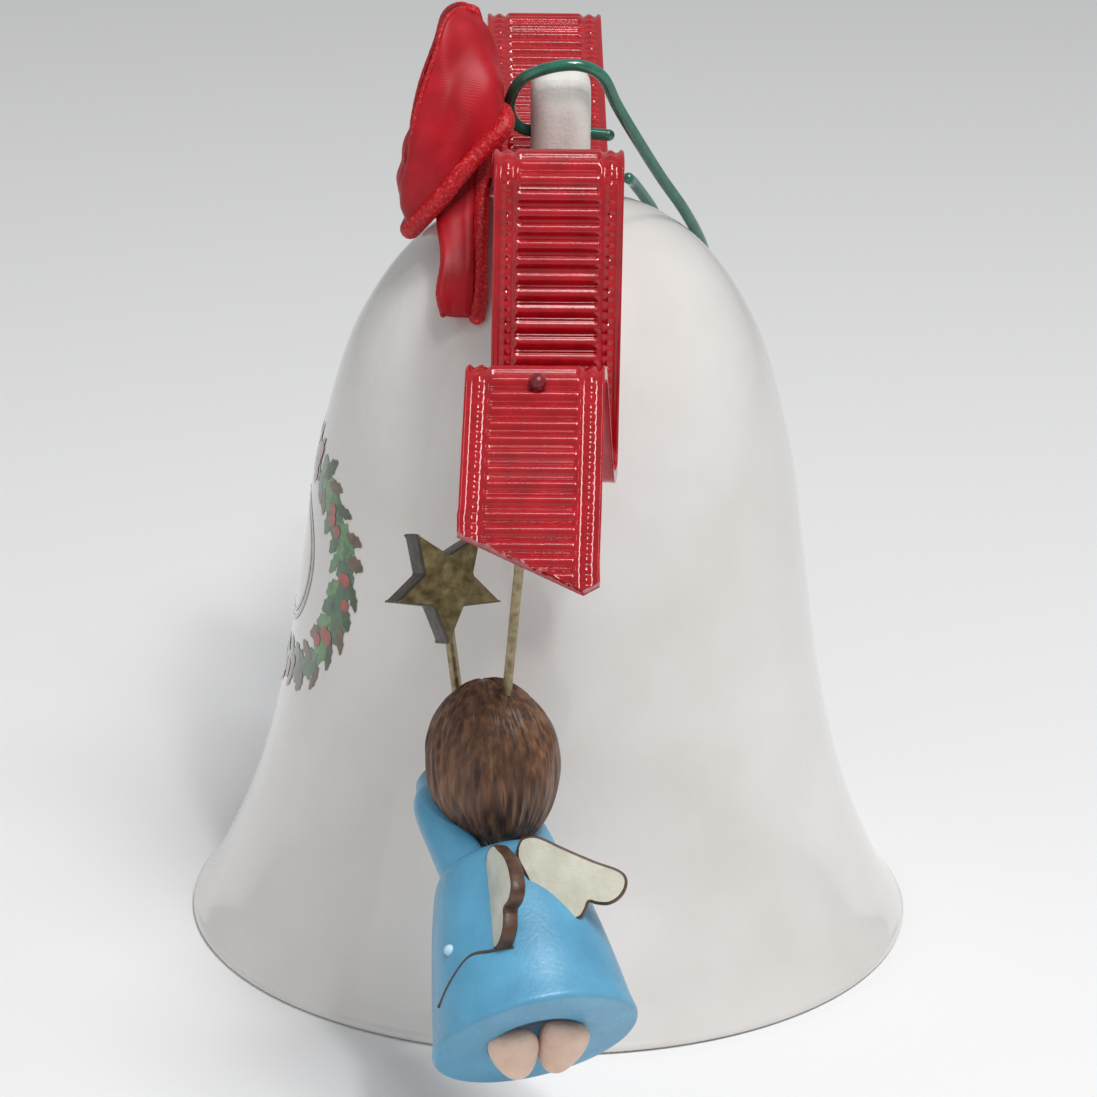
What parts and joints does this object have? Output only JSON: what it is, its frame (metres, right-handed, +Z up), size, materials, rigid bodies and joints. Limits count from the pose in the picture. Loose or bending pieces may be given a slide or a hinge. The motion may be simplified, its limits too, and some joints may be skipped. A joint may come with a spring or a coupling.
{
  "type": "bell ornament",
  "caption": "Porcelain bell ornament with an inner clapper, a wavy ribbon banner through the crown loop, a satin bow, a wire hook and an angel figure hanging from each banner tail.",
  "frame": {"origin": "on the bell's axis, in the plane that the rim stands on", "axes": "+Z up along the bell's axis, the satin bow faces -Y, the ribbon banner runs along X"},
  "size_m": [0.1386, 0.0718, 0.0915],
  "materials": {
    "porcelain": "clear gloss glaze",
    "loop_white": "satin",
    "banner_red": "pearly gloss",
    "satin_red": "satin weave",
    "hook_green": "gloss coating",
    "brass_wire": "aged",
    "skin": "hand painted, matt",
    "hair_brown": "carved and stained",
    "robe_blue": "satin paint",
    "wing_ivory": "satin paint, brown edge",
    "antique_gold": "old gold paint"
  },
  "bodies": {
    "bell": {"bell_body": "porcelain", "crown_loop": "loop_white", "clapper_staple": "brass_wire", "ribbon_banner": "banner_red", "bow_loops": "satin_red", "bow_knot": "satin_red", "bow_tails": "satin_red"},
    "hook": {"hook_wire": "hook_green"},
    "link": {"clapper_link": "brass_wire"},
    "clapper": {"clapper_stem": "brass_wire", "clapper_ball": "porcelain"},
    "right_angel": {"right_hanging_wire": "brass_wire", "right_head": "skin", "right_hair": "hair_brown", "right_robe": "robe_blue", "right_star": "antique_gold", "right_star_wand": "brass_wire", "right_sleeve_front": "robe_blue", "right_hand_front": "skin", "right_sleeve_rear": "robe_blue", "right_hand_rear": "skin", "right_foot_front": "skin", "right_foot_rear": "skin", "right_wing_rear": "wing_ivory", "right_wing_front": "wing_ivory"},
    "left_angel": {"left_hanging_wire": "brass_wire", "left_head": "skin", "left_hair": "hair_brown", "left_robe": "robe_blue", "left_star": "antique_gold", "left_star_wand": "brass_wire", "left_sleeve_front": "robe_blue", "left_hand_front": "skin", "left_sleeve_rear": "robe_blue", "left_hand_rear": "skin", "left_foot_front": "skin", "left_foot_rear": "skin", "left_wing_rear": "wing_ivory", "left_wing_front": "wing_ivory"}
  },
  "joints": [
    {"name": "hook_swing", "type": "hinge", "parent": "bell", "child": "hook", "pos_m": [0, 0, 0.0791], "axis": [0, 1, 0], "range_deg": [0, 65]},
    {"name": "link_swing", "type": "hinge", "parent": "bell", "child": "link", "pos_m": [0, 0, 0.066], "axis": [0, 1, 0], "range_deg": [-16, 16]},
    {"name": "clapper_swing", "type": "hinge", "parent": "link", "child": "clapper", "pos_m": [0, 0, 0.0618], "axis": [1, 0, 0], "range_deg": [-16, 16]},
    {"name": "right_angel_swing", "type": "hinge", "parent": "bell", "child": "right_angel", "pos_m": [0.0505, -0.0031, 0.0699], "axis": [0, -1, 0], "range_deg": [-8, 24]},
    {"name": "left_angel_swing", "type": "hinge", "parent": "bell", "child": "left_angel", "pos_m": [-0.0505, -0.0031, 0.0699], "axis": [0, 1, 0], "range_deg": [-8, 24]}
  ]
}
